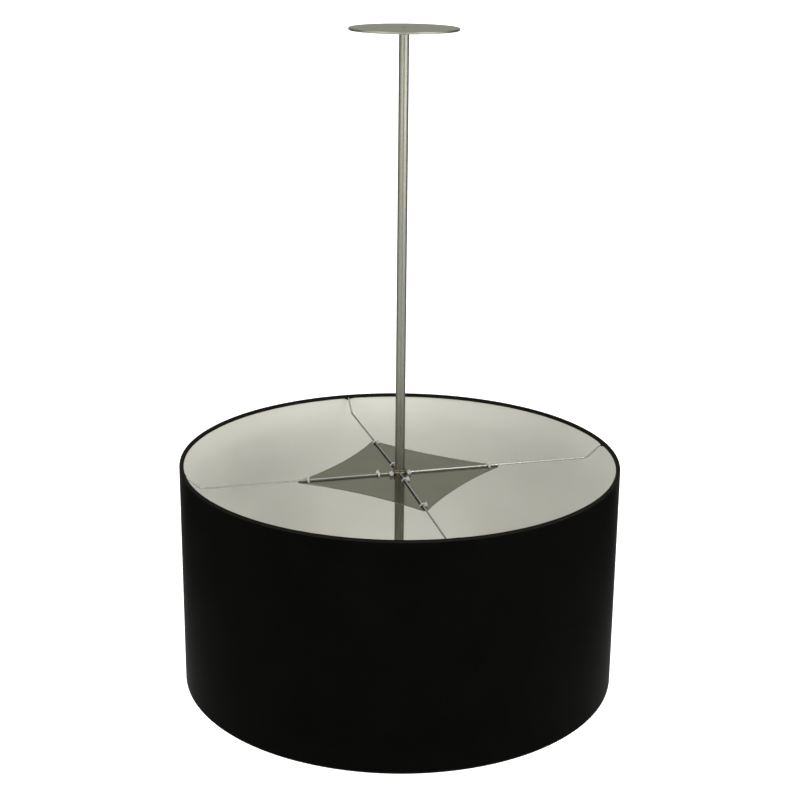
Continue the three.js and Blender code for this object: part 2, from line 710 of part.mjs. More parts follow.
// Leads from the ceiling end, down both stem tubes, into connectors in the cluster
function addLeads() {
  const spreadTop = clusterTop - CLUSTER_NIPPLE_TAIL;
  const connectorTop = spreadTop - LEAD_SPREAD_HEIGHT;
  const leadFoot = connectorTop - CONNECTOR_DEPTH + FIT_GAP;
  const bore = LEAD_RADIUS + FIT_GAP;
  const connector = turned([
    [0, connectorTop - CONNECTOR_LENGTH],
    [CONNECTOR_TIP_RADIUS, connectorTop - CONNECTOR_LENGTH],
    [CONNECTOR_RADIUS, connectorTop],
    [bore, connectorTop],
    [bore, connectorTop - CONNECTOR_DEPTH],
    [0, connectorTop - CONNECTOR_DEPTH],
  ], SMALL_SEGMENTS);
  [['live', -1, leadBlack], ['neutral', 1, leadWhite]].forEach(([name, side, material]) => {
    const stations = [
      [side * LEAD_SPACING, 0, -LEAD_TOP_RECESS],
      [side * LEAD_SPACING, 0, spreadTop],
      [side * LEAD_SPREAD, 0, connectorTop],
      [side * LEAD_SPREAD, 0, leadFoot],
    ];
    place(`lead_${name}`, wire(stations, LEAD_RADIUS, WIRE_SIDES), material);
    place(`connector_${name}`, connector.clone().translate(side * LEAD_SPREAD, 0, 0), connectorOrange);
  });
}

addCeilingDisc();
addStem();
addHub();
addArms();
addShade();
addHeatPlate();
addTies();
addCluster();
addClusterNipple();
addLamps();
addLeads();

export default object;
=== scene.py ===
import json
import math

import bmesh
import bpy
from mathutils import Matrix, Vector


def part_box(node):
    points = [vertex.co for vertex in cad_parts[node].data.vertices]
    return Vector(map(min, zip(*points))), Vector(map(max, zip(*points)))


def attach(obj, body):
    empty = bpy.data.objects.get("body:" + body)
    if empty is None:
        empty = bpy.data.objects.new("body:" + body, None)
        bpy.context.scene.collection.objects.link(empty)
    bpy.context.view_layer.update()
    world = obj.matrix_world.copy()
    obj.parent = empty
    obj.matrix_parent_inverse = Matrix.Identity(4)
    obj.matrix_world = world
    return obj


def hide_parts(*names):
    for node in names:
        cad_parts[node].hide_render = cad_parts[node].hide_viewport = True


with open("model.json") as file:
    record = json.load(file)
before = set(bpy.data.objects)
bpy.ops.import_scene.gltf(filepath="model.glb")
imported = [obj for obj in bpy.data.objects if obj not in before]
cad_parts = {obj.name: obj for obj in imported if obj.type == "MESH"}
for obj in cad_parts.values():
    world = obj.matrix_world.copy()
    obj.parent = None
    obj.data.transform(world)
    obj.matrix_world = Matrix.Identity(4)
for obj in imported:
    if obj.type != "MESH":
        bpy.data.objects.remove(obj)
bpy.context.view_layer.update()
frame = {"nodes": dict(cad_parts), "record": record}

MM = 0.001
QUARTER = math.pi / 2
ARMS = 4

# Camera, fitted to the photograph: its place, its angles, and its focal length as a share of the
# picture's width
CAMERA_BACK = 2011.5 * MM
CAMERA_RISE = 150.2 * MM
CAMERA_AZIMUTH = math.radians(-15)
CAMERA_PITCH = 0.3036
CAMERA_ROLL = 0.0101
CAMERA_YAW = 0.0003
SENSOR = 36
FOCAL_SHARE = 1598.09 / 800

# Meshes
TURNED_SEGMENTS = 96
THREADED_SEGMENTS = 64
FILLET_STEPS = 5
CURVE_STEPS = 5
SHARP_ANGLE = math.radians(38)
LEVEL_COSINE = 0.9999
SUPPORT = 0.1 * MM
SAME_POINT = 1e-7
FIT_GAP = 0.3 * MM

# Disc and stem
DISC_SEGMENTS = 192
DISC_EDGE = 1.1 * MM
TUBE_WALL = 0.9 * MM
TUBE_EDGE = 0.2 * MM

# Spider: each arm's own direction, as hand-welded, with arm 1 along +X. The photograph shows a
# thinner wire than the CAD's, so the wire takes a share of it, on the same underside.
ARM_AZIMUTHS = tuple(math.radians(angle) for angle in (0, 90.75, 180, 268.75))
ARM_BEND_REACH = 266 * MM
ARM_BEND_RADIUS = 9 * MM
ARM_BEND_STEPS = 10
WIRE_SHARE = 0.75
WIRE_SIDES = 20
HUB_GROOVE = 0.5 * MM
HUB_GROOVE_LEVEL = 0.62

# Welds at an arm's two ends: at the hub by reach past its surface, at the ring by length
WELD_RADIUS = 2.1 * MM
ROOT_REACHES = (-1.5 * MM, 0.2 * MM, 1.6 * MM)
ROOT_SWELL = 1.25
WELD_LENGTH = 4.2 * MM
WELD_SWELL = 1.12
WELD_SWELL_PLACE = 0.4
WELD_END = 0.9
RING_SEAT = 0.8

# Shade
SKIN_THICKNESS = 0.6 * MM
LINER_THICKNESS = 0.6 * MM
RIM_ROUND = 3 * MM
RIM_SEGMENTS = 360
HEM_WRAP = math.radians(168)
HEM_STEPS = 18
HEM_BULGE = 0.8 * MM
HEM_SAG = 2.4 * MM
HEM_BULGE_SPREAD = 3.5 * MM
SEAM_AZIMUTH = math.radians(62)
SEAM_WIDTH = 11 * MM
SEAM_THICKNESS = 0.35 * MM
SEAM_STEPS = 6
# How the wall strays from round: each wave's size, count round the shade, phase, and the shift of
# its phase with each metre of height
SHADE_WAVES = ((0.12 * MM, 3, 1, 0), (0.06 * MM, 11, 0, 40))

# Heat plate
PLATE_WAIST = 90.6 * MM
PLATE_TIP_ROUND = 5 * MM
PLATE_SIDE_STEPS = 40
PLATE_TIP_STEPS = 10
PLATE_EDGE_ROUND = 0.15 * MM

# Cable ties: the arm that each is on, its reach along the arm, and the side of its head
TIE_WIDTH = 2.5 * MM
TIE_THICKNESS = 1.1 * MM
TIE_HALF_SPAN = 3.1 * MM
TIE_HEAD_NEAR = 1.8 * MM
TIE_HEAD_SPAN = 4.4 * MM
TIE_HEAD_WIDTH = 4.6 * MM
TIE_HEAD_HEIGHT = 3.6 * MM
TIE_TAIL_LENGTH = 2.2 * MM
TIE_BEVEL = 0.25 * MM
TIE_BEVEL_SEGMENTS = 2
TIE_ARC_STEPS = 12
TIE_ARC_RISE = math.radians(15)
TIES = (
    (0, 125 * MM, 1),
    (0, 11.8 * MM, -1),
    (1, 129 * MM, -1),
    (1, 34 * MM, -1),
    (2, 125 * MM, -1),
    (2, 29.3 * MM, -1),
    (2, 12.5 * MM, 1),
    (3, 123 * MM, 1),
    (3, 28 * MM, 1),
)

# Lamp cluster: a cup, and a cover with a knob
CLUSTER_WALL = 2 * MM
CLUSTER_CORNER = 3 * MM
KNOB_RADIUS = 6 * MM
KNOB_FACE = 0.8
KNOB_NECK = 0.55
KNOB_ROUND = KNOB_RADIUS / 3
KNOB_NECK_ROUND = KNOB_RADIUS / 5

# Lamp holders
THREAD_PITCH = 25.4 / 7 * MM
THREAD_DEPTH = 0.35 * MM
THIN_WALL = 0.6 * MM
SOFT_EDGE = 0.8 * MM
NECK_RADIUS = 9 * MM
NECK_LENGTH = 7 * MM
SHOULDER_LENGTH = 5 * MM
SHOULDER_ROUND = 3 * SOFT_EDGE
HOLDER_FLOOR = 3 * MM
HOLDER_LIP = 1.2 * MM
HOLDER_RIM_START = 4 * HOLDER_LIP
HOLDER_RIM_LENGTH = 3 * HOLDER_LIP
FLUTES = 16
FLUTE_DEPTH = 0.25 * MM
SHELL_HOLE = 5 * MM
SHELL_STEPS = 70

# Lamps
CAP_HOLE = 8 * MM
CAP_STEPS = 60
CAP_TAPER = 2.4 * THIN_WALL
CAP_TAPER_START = 3 * THIN_WALL
TIP_RADIUS = 4.8 * MM
TIP_FACE_DEPTH = 1.5 * MM
TIP_SEGMENTS = 48
BULB_WALL = 0.9 * MM
BULB_NECK_DEPTH = 11 * MM
# The envelope as shares of its length past the cap and of its greatest radius
BULB_SHARES = (
    (0.02, 0.45), (0.12, 0.49), (0.24, 0.58), (0.36, 0.72), (0.48, 0.87), (0.58, 0.97), (0.66, 1.0),
    (0.74, 0.985), (0.83, 0.89), (0.91, 0.7), (0.96, 0.48), (0.99, 0.24), (1.0, 0.0),
)


# Meshes

def piece(name, mesh, body, slot, *nodes):
    """An object of this mesh that rides on a body, has a finish and stands for some CAD nodes."""
    obj = bpy.data.objects.new(name, mesh)
    bpy.context.scene.collection.objects.link(obj)
    if not mesh.materials:
        mesh.materials.append(MATERIALS[slot])
    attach(obj, body)
    if nodes:
        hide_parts(*nodes)
    return obj


def smooth(mesh):
    """Smooth shading, with level faces flat so that no soft edge tilts their light."""
    mesh.shade_smooth()
    for face in mesh.polygons:
        face.use_smooth = abs(face.normal.z) < LEVEL_COSINE
    mesh.set_sharp_from_angle(angle=SHARP_ANGLE)
    return mesh


def mesh_of(name, points, faces):
    """A closed smooth mesh, with doubled points welded and its faces turned outwards."""
    mesh = bpy.data.meshes.new(name)
    mesh.from_pydata(points, [], faces)
    work = bmesh.new()
    work.from_mesh(mesh)
    bmesh.ops.remove_doubles(work, verts=work.verts, dist=SAME_POINT)
    bmesh.ops.recalc_face_normals(work, faces=work.faces)
    work.to_mesh(mesh)
    work.free()
    return smooth(mesh)


def lofted(name, sections):
    """A body through a ring of closed sections, all with the same number of points."""
    points = [point for section in sections for point in section]
    count = len(sections[0])
    faces = []
    for index in range(len(sections)):
        here, there = index * count, (index + 1) % len(sections) * count
        for row in range(count):
            above = (row + 1) % count
            faces.append((here + row, there + row, there + above, here + above))
    return mesh_of(name, points, faces)


def revolved(name, profile, segments=TURNED_SEGMENTS, shape=None):
    """A closed profile of (radius, height) turned about Z; shape may move each of its points."""
    sections = []
    for segment in range(segments):
        angle = math.tau * segment / segments
        section = []
        for radius, height in profile:
            wide, level = shape(radius, height, angle) if shape else (radius, height)
            section.append((wide * math.cos(angle), wide * math.sin(angle), level))
        sections.append(section)
    return lofted(name, sections)


def rounded(corners):
    """An outline from (x, y, round) corners, each with an arc of that radius.

    A row of points beside each arc, where there is room, keeps the shading of the flats clean.
    """
    outline = []
    for index, (x, y, radius) in enumerate(corners):
        here = Vector((x, y))
        if not radius:
            outline.append((x, y))
            continue
        before = Vector(corners[index - 1][:2]) - here
        after = Vector(corners[(index + 1) % len(corners)][:2]) - here
        cut = radius / math.tan(before.angle(after) / 2)
        near, far = min(cut, before.length / 2), min(cut, after.length / 2)
        start = here + before.normalized() * near
        end = here + after.normalized() * far
        if near + SUPPORT < before.length / 2:
            outline.append(tuple(start + before.normalized() * SUPPORT))
        for step in range(FILLET_STEPS + 1):
            share = step / FILLET_STEPS
            point = start.lerp(here, share).lerp(here.lerp(end, share), share)
            outline.append((point.x, point.y))
        if far + SUPPORT < after.length / 2:
            outline.append(tuple(end + after.normalized() * SUPPORT))
    return outline


def arc(centre_x, centre_y, radius, start, end, steps):
    """Points of an arc from one angle to another."""
    angles = [start + (end - start) * step / steps for step in range(steps + 1)]
    return [(centre_x + radius * math.cos(a), centre_y + radius * math.sin(a)) for a in angles]


def swept(name, stations, radii):
    """A round wire through stations, with a radius at each, closed at both ends."""
    points = [Vector(station) for station in stations]
    last = len(points) - 1
    rings = []
    for index, (point, radius) in enumerate(zip(points, radii)):
        along = (points[min(index + 1, last)] - points[max(index - 1, 0)]).normalized()
        side = along.cross(Vector((0, 1, 0))).normalized()
        other = along.cross(side)
        for step in range(WIRE_SIDES):
            angle = math.tau * step / WIRE_SIDES
            rings.append(point + (side * math.cos(angle) + other * math.sin(angle)) * radius)
    faces = []
    for index in range(last):
        low, high = index * WIRE_SIDES, (index + 1) * WIRE_SIDES
        for step in range(WIRE_SIDES):
            after = (step + 1) % WIRE_SIDES
            faces.append((low + step, low + after, high + after, high + step))
    faces.append(tuple(range(WIRE_SIDES)))
    faces.append(tuple(last * WIRE_SIDES + step for step in range(WIRE_SIDES)))
    return mesh_of(name, rings, faces)


def block(points, faces, low, high):
    """Adds a box between two corners to a list of points and faces."""
    base = len(points)
    xs, ys, zs = zip(low, high)
    points += [(x, y, z) for x in xs for y in ys for z in zs]
    sides = ((0, 1, 3, 2), (4, 6, 7, 5), (0, 4, 5, 1), (2, 3, 7, 6), (0, 2, 6, 4), (1, 5, 7, 3))
    faces += [tuple(base + corner for corner in side) for side in sides]


# Materials

NOISE_DETAIL = 4
NOISE_LOW, NOISE_HIGH = 0.3, 0.7

# What each metal's surface keeps of its light at a glancing angle
STEEL_TINT = (0.53, 0.53, 0.47, 1)
PLATE_TINT = (0.44, 0.44, 0.41, 1)
WIRE_TINT = (0.2, 0.2, 0.2, 1)
EDGE_TINT = (0.1, 0.1, 0.09, 1)

# A ground tube: long streaks along it, and gloss drawn out across them
STEM_STREAK = 60
STEM_GLOSS = {
    "Metallic": 0.7, "Specular Tint": EDGE_TINT, "Anisotropic": 0.3, "Anisotropic Rotation": 0.25,
}

# Each finish: two tones in sRGB, the range of its roughness, the grains to a metre of its noise
# and of its mottling, the height of its bump, constants of its shader, and perhaps a streak
FINISHES = {
    "disc_steel": (
        (129, 129, 117), (139, 139, 128), (0.36, 0.48), 900, 60, 0.002 * MM,
        {"Metallic": 1, "Specular Tint": STEEL_TINT},
    ),
    "heat_plate_steel": (
        (118, 118, 105), (125, 124, 112), (0.13, 0.16), 900, 25, 0.002 * MM,
        {"Metallic": 0.85, "Specular Tint": PLATE_TINT},
    ),
    "stem_nickel": (
        (114, 114, 104), (122, 122, 111), (0.25, 0.29), 700, 120, 0.0008 * MM,
        STEM_GLOSS, STEM_STREAK,
    ),
    "hub_brass": (
        (144, 141, 126), (158, 148, 128), (0.1, 0.16), 400, 150, 0.003 * MM,
        {"Metallic": 1, "Specular Tint": EDGE_TINT},
    ),
    "arm_wire": (
        (161, 162, 157), (171, 172, 166), (0.19, 0.21), 700, 120, 0.0008 * MM,
        {"Metallic": 0.75, "Specular Tint": WIRE_TINT},
    ),
    "ring_wire": (
        (120, 120, 115), (134, 134, 128), (0.3, 0.4), 600, 90, 0.004 * MM,
        {"Metallic": 1},
    ),
    "zinc": (
        (132, 132, 122), (144, 144, 134), (0.36, 0.48), 700, 140, 0.004 * MM,
        {"Metallic": 1, "Specular Tint": STEEL_TINT},
    ),
    "skin": (
        (5, 5, 4), (7, 7, 6), (0.45, 0.55), 2200, 14, 0.02 * MM,
        {"Specular IOR Level": 0.005},
    ),
    # The rolled edges: the skin's own fabric, painted lighter than the wall as painted sheen, where
    # the rolled edge catches the light
    "hem": (
        (22, 21, 17), (27, 26, 21), (0.5, 0.6), 2200, 120, 0.02 * MM,
        {"Specular IOR Level": 0.005},
    ),
    "liner": (
        (203, 202, 193), (209, 208, 199), (0.6, 0.75), 1200, 7, 0.03 * MM,
        {"Specular IOR Level": 0.3},
    ),
    "nylon": (
        (208, 210, 204), (222, 223, 217), (0.35, 0.5), 900, 200, 0.01 * MM,
        {"Specular IOR Level": 0.5, "Transmission Weight": 0.4},
    ),
    "cluster_nickel": (
        (172, 172, 160), (190, 190, 178), (0.26, 0.36), 1200, 60, 0.01 * MM,
        {"Metallic": 1},
    ),
    "holder": (
        (20, 20, 20), (30, 29, 28), (0.35, 0.5), 1500, 120, 0.02 * MM,
        {"Specular IOR Level": 0.5},
    ),
    "holder_brass": (
        (196, 164, 96), (214, 184, 118), (0.2, 0.32), 800, 150, 0.01 * MM,
        {"Metallic": 1},
    ),
    "lamp_cap": (
        (196, 196, 190), (210, 210, 204), (0.25, 0.36), 900, 150, 0.01 * MM,
        {"Metallic": 1},
    ),
    "lamp_tip": (
        (16, 16, 19), (26, 26, 30), (0.12, 0.2), 300, 100, 0.01 * MM,
        {"Specular IOR Level": 0.5},
    ),
    "lamp_glass": (
        (240, 238, 230), (246, 244, 238), (0.28, 0.34), 1800, 20, 0.01 * MM,
        {"Specular IOR Level": 0.5, "Subsurface Weight": 0.15},
    ),
    "lead_black": (
        (22, 22, 22), (34, 34, 34), (0.5, 0.65), 900, 80, 0.01 * MM,
        {"Specular IOR Level": 0.4},
    ),
    "lead_white": (
        (214, 213, 207), (226, 225, 220), (0.5, 0.65), 900, 80, 0.01 * MM,
        {"Specular IOR Level": 0.4},
    ),
    "connector": (
        (196, 96, 30), (208, 110, 42), (0.45, 0.6), 900, 120, 0.02 * MM,
        {"Specular IOR Level": 0.4},
    ),
}


def linear(channels):
    """An sRGB colour of 0 to 255 channels as the linear colour that a shader takes."""
    values = [c / 255 for c in channels]
    return [v / 12.92 if v <= 0.04045 else ((v + 0.055) / 1.055) ** 2.4 for v in values] + [1]


def pattern(tree, scale, streak):
    """Noise over the piece's own coordinates, with this many grains to a metre.

    streak is how many times longer than wide each grain is, along Z.
    """
    coordinates = tree.nodes.new("ShaderNodeTexCoord")
    drawn = tree.nodes.new("ShaderNodeVectorMath")
    drawn.operation = "MULTIPLY"
    drawn.inputs[1].default_value = (1, 1, 1 / streak)
    noise = tree.nodes.new("ShaderNodeTexNoise")
    noise.inputs["Scale"].default_value = scale
    noise.inputs["Detail"].default_value = NOISE_DETAIL
    tree.links.new(coordinates.outputs["Object"], drawn.inputs[0])
    tree.links.new(drawn.outputs[0], noise.inputs["Vector"])
    return noise.outputs[0]


def spread(tree, value, low, high):
    """A noise value carried to the range from low to high, with its rare ends cut off."""
    ranged = tree.nodes.new("ShaderNodeMapRange")
    ranged.inputs["From Min"].default_value = NOISE_LOW
    ranged.inputs["From Max"].default_value = NOISE_HIGH
    ranged.inputs["To Min"].default_value = low
    ranged.inputs["To Max"].default_value = high
    tree.links.new(value, ranged.inputs["Value"])
    return ranged.outputs["Result"]


def surface(name, dark, light, roughness, grain, mottle, bump, constants, streak=1):
    """A finish whose colour drifts between two tones, with a grain in its roughness and height."""
    material = bpy.data.materials.new(name)
    material.use_nodes = True
    tree = material.node_tree
    shader = tree.nodes["Principled BSDF"]
    tones = tree.nodes.new("ShaderNodeMix")
    tones.data_type = "RGBA"
    tones.inputs["A"].default_value = linear(dark)
    tones.inputs["B"].default_value = linear(light)
    grain_value = pattern(tree, grain, streak)
    tree.links.new(spread(tree, pattern(tree, mottle, streak), 0, 1), tones.inputs["Factor"])
    tree.links.new(tones.outputs["Result"], shader.inputs["Base Color"])
    tree.links.new(spread(tree, grain_value, *roughness), shader.inputs["Roughness"])
    height = tree.nodes.new("ShaderNodeBump")
    height.inputs["Distance"].default_value = bump
    tree.links.new(grain_value, height.inputs["Height"])
    tree.links.new(height.outputs["Normal"], shader.inputs["Normal"])
    for socket, value in constants.items():
        shader.inputs[socket].default_value = value
    return material


MATERIALS = {name: surface(name, *finish) for name, finish in FINISHES.items()}


def dress_cad_nodes():
    """Gives each CAD node the finish of its slot, for those that stay in sight."""
    for part in frame["record"]["subparts"]:
        node = frame["nodes"][part["node"]]
        node.data.materials.clear()
        node.data.materials.append(MATERIALS[part["material_slot"]])


# Sizes that the frame holds

def half_width(node):
    low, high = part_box(node)
    return (high.x - low.x) / 2


def half_depth(node):
    low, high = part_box(node)
    return (high.y - low.y) / 2


def heights(node):
    low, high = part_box(node)
    return low.z, high.z


def along_arm(node):
    """The reach of a piece of lamp 1 from the stem's axis: nearest and farthest."""
    low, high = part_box(node)
    return low.x, high.x


# The rings' wire has six sides, so its height is the root of 3 times its radius
RING_WIRE = (heights("shade_ring_top")[1] - heights("shade_ring_top")[0]) / math.sqrt(3)
RING_RADIUS = half_width("shade_ring_top") - RING_WIRE
RING_LEVEL = sum(heights("shade_ring_top")) / 2
LOWER_RING_LEVEL = sum(heights("shade_ring_bottom")) / 2
SHADE_RADIUS = half_width("shade_skin")
WIRE_RADIUS = WIRE_SHARE * half_depth("spider_arm_1")
WIRE_LEVEL = heights("spider_arm_1")[0] + WIRE_RADIUS
HUB_RADIUS = half_width("spider_hub")
HUB_FOOT, HUB_TOP = heights("spider_hub")
PLATE_FOOT, PLATE_TOP = heights("heat_plate")
BORE_RADIUS = half_width("ceiling_nipple") + FIT_GAP
LAMP_LEVEL = sum(heights("bulb_glass_1")) / 2


# Disc and stem

def add_disc():
    radius = half_width("ceiling_plate")
    foot, top = heights("ceiling_plate")
    profile = rounded([
        (BORE_RADIUS, foot, 0),
        (radius, foot, DISC_EDGE),
        (radius, top, DISC_EDGE),
        (BORE_RADIUS, top, FIT_GAP),
    ])
    mesh = revolved("ceiling_disc", profile, DISC_SEGMENTS)
    piece("ceiling_disc", mesh, "fixture", "disc_steel", "ceiling_plate")


def add_tube(name, node):
    radius = half_width(node)
    foot, top = heights(node)
    profile = rounded([
        (radius - TUBE_WALL, foot, TUBE_EDGE),
        (radius, foot, TUBE_EDGE),
        (radius, top, TUBE_EDGE),
        (radius - TUBE_WALL, top, TUBE_EDGE),
    ])
    piece(name, revolved(name, profile), "fixture", "stem_nickel", node)


# Spider

def add_hub():
    groove = HUB_FOOT + (HUB_TOP - HUB_FOOT) * HUB_GROOVE_LEVEL
    profile = rounded([
        (BORE_RADIUS, HUB_FOOT, 0),
        (HUB_RADIUS, HUB_FOOT, HUB_GROOVE),
        (HUB_RADIUS, groove - HUB_GROOVE, HUB_GROOVE),
        (HUB_RADIUS - HUB_GROOVE, groove, HUB_GROOVE),
        (HUB_RADIUS, groove + HUB_GROOVE, HUB_GROOVE),
        (HUB_RADIUS, HUB_TOP, HUB_GROOVE),
        (BORE_RADIUS, HUB_TOP, 0),
    ])
    mesh = revolved("spider_collar", profile)
    piece("spider_collar", mesh, "fixture", "hub_brass", "spider_hub")


def arm_stations():
    """The arm along +X, from the hub to the ring: its centreline's stations and its radii."""
    rise = math.atan2(RING_LEVEL - WIRE_LEVEL, RING_RADIUS - ARM_BEND_REACH)
    bend_start = ARM_BEND_REACH - ARM_BEND_RADIUS * math.tan(rise / 2)
    bend_centre = WIRE_LEVEL + ARM_BEND_RADIUS
    bend = arc(
        bend_start, bend_centre, ARM_BEND_RADIUS, -QUARTER, rise - QUARTER, ARM_BEND_STEPS)
    direction = Vector((math.cos(rise), math.sin(rise)))
    end = Vector((RING_RADIUS, RING_LEVEL)) - direction * (RING_WIRE * RING_SEAT)
    weld = end - direction * WELD_LENGTH
    swell = end - direction * WELD_LENGTH * WELD_SWELL_PLACE
    stations = [(HUB_RADIUS + reach, WIRE_LEVEL) for reach in ROOT_REACHES]
    radii = [WELD_RADIUS, WIRE_RADIUS * ROOT_SWELL, WIRE_RADIUS]
    stations += bend + [tuple(weld), tuple(swell), tuple(end)]
    radii += [WIRE_RADIUS] * (len(bend) + 1)
    radii += [WIRE_RADIUS * WELD_SWELL, WELD_RADIUS * WELD_END]
    return [(reach, 0, level) for reach, level in stations], radii


def add_arms():
    stations, radii = arm_stations()
    for arm in range(ARMS):
        name = f"arm_wire_{arm + 1}"
        mesh = swept(name, stations, radii)
        mesh.transform(Matrix.Rotation(ARM_AZIMUTHS[arm], 4, "Z"))
        piece(name, mesh, "fixture", "arm_wire", f"spider_arm_{arm + 1}")


# Shade

def hem_half(level, side):
    """The skin's section from the wall's edge round the ring: outer and inner points.

    side is 1 for the top edge and -1 for the bottom one.
    """
    inner = RING_WIRE + FIT_GAP
    outer = inner + SKIN_THICKNESS
    wall = SHADE_RADIUS - SKIN_THICKNESS
    corner = rounded([
        (RING_RADIUS, outer, 0), (SHADE_RADIUS, -outer, 0), (SHADE_RADIUS, outer, RIM_ROUND),
    ])[2:]
    inner_corner = rounded([
        (RING_RADIUS, inner, 0), (wall, -outer, 0), (wall, inner, RIM_ROUND - SKIN_THICKNESS),
    ])[2:]
    outer_arc = arc(RING_RADIUS, 0, outer, QUARTER, QUARTER + HEM_WRAP, HEM_STEPS)
    inner_arc = arc(RING_RADIUS, 0, inner, QUARTER, QUARTER + HEM_WRAP, HEM_STEPS)

    def placed(points):
        return [(radius, level + side * height) for radius, height in points]

    return placed(corner + outer_arc[1:]), placed(inner_corner + inner_arc[1:])


def shade_wander(radius, height, angle):
    """Slow, slight unevenness of a hand-rolled shade, and the hem's sag over the arms' ends."""
    wide = radius
    level = height
    for size, count, phase, shift in SHADE_WAVES:
        wide += size * math.sin(count * angle + phase + shift * height)
    if radius < RING_RADIUS - FIT_GAP and height > RING_LEVEL - 2 * RING_WIRE:
        for azimuth in ARM_AZIMUTHS:
            apart = math.remainder(angle - azimuth, math.tau) * RING_RADIUS / HEM_BULGE_SPREAD
            swell = math.exp(-apart ** 2)
            wide -= HEM_BULGE * swell
            if height < RING_LEVEL:
                level -= HEM_SAG * swell
    return wide, level


def add_shade():
    rim_outer, rim_inner = hem_half(RING_LEVEL, 1)
    foot_outer, foot_inner = hem_half(LOWER_RING_LEVEL, -1)
    profile = foot_outer[::-1] + rim_outer + rim_inner[::-1] + foot_inner
    mesh = revolved("shade_cover", profile, RIM_SEGMENTS, shade_wander)
    mesh.materials.append(MATERIALS["skin"])
    mesh.materials.append(MATERIALS["hem"])
    # Faces of the rolled edges take the hem finish, the skin's fabric painted lighter as painted
    # sheen
    for face in mesh.polygons:
        on_wall = LOWER_RING_LEVEL < face.center.z < RING_LEVEL - RING_WIRE
        face.material_index = 0 if on_wall else 1
    piece("shade_cover", mesh, "fixture", "skin", "shade_skin")

    outer = half_width("shade_liner")
    foot, top = heights("shade_liner")
    inner = outer - LINER_THICKNESS
    section = [(outer, foot), (outer, top), (inner, top), (inner, foot)]
    lining = revolved("shade_lining", section, RIM_SEGMENTS, shade_wander)
    piece("shade_lining", lining, "fixture", "liner", "shade_liner")


def add_seam():
    """The cover's lapped edge: a thin upright strip on the outside of the wall."""
    foot, top = heights("shade_liner")
    half = SEAM_WIDTH / 2 / SHADE_RADIUS
    points = []
    for level in (foot, top):
        for wall in (SHADE_RADIUS, SHADE_RADIUS + SEAM_THICKNESS):
            for step in range(SEAM_STEPS + 1):
                angle = SEAM_AZIMUTH - half + 2 * half * step / SEAM_STEPS
                wide = shade_wander(wall, level, angle)[0]
                points.append((wide * math.cos(angle), wide * math.sin(angle), level))
    row = SEAM_STEPS + 1
    faces = []
    for step in range(SEAM_STEPS):
        after = step + 1
        for low, high in ((0, 1), (1, 3), (3, 2), (2, 0)):
            low_row, high_row = low * row, high * row
            faces.append((low_row + step, low_row + after, high_row + after, high_row + step))
    for end in (0, SEAM_STEPS):
        faces.append((end, row + end, 3 * row + end, 2 * row + end))
    piece("cover_seam", mesh_of("cover_seam", points, faces), "fixture", "skin")


# Heat plate

def lean(point):
    """A flat point turned about Z by the errors of the arms that it lies between."""
    share = 0
    for arm, azimuth in enumerate(ARM_AZIMUTHS):
        apart = math.atan2(point[1], point[0]) - arm * QUARTER
        share += max(0, math.cos(apart)) ** 2 * (azimuth - arm * QUARTER)
    return Matrix.Rotation(share, 2) @ Vector(point)


def plate_outline():
    """The star's outline: a round tip under each arm, and hollow arcs that touch the tips."""
    tip_centre = half_width("heat_plate") - PLATE_TIP_ROUND
    on_tip = math.sqrt(2) * tip_centre
    side_radius = (
        (PLATE_TIP_ROUND ** 2 - PLATE_WAIST ** 2 - tip_centre ** 2 + on_tip * PLATE_WAIST)
        / (2 * PLATE_WAIST - on_tip - 2 * PLATE_TIP_ROUND))
    side_centre = (PLATE_WAIST + side_radius) / math.sqrt(2)
    to_side = math.atan2(side_centre, side_centre - tip_centre)
    side_from = to_side - math.pi
    side_to = -QUARTER - side_from - math.pi
    tip = arc(tip_centre, 0, PLATE_TIP_ROUND, -to_side, to_side, PLATE_TIP_STEPS)
    side = arc(side_centre, side_centre, side_radius, side_from, side_to, PLATE_SIDE_STEPS)
    quarter = [Vector(point) for point in tip + side[1:-1]]
    turns = [Matrix.Rotation(arm * QUARTER, 2) for arm in range(ARMS)]
    return [lean(turn @ point) for turn in turns for point in quarter]


def slots_mesh():
    """A box for each slot that a tie's strap passes through."""
    points, faces = [], []
    half_length = TIE_WIDTH / 2 + FIT_GAP
    near = TIE_HALF_SPAN - FIT_GAP
    far = TIE_HALF_SPAN + TIE_THICKNESS + FIT_GAP
    below, above = 2 * PLATE_FOOT - PLATE_TOP, 2 * PLATE_TOP - PLATE_FOOT
    for arm, reach, _ in TIES:
        first = len(points)
        for low, high in ((-far, -near), (near, far)):
            block(points, faces, (reach - half_length, low, below),
                  (reach + half_length, high, above))
        turn = Matrix.Rotation(ARM_AZIMUTHS[arm], 3, "Z")
        points[first:] = [turn @ Vector(point) for point in points[first:]]
    return mesh_of("plate_slots", points, faces)


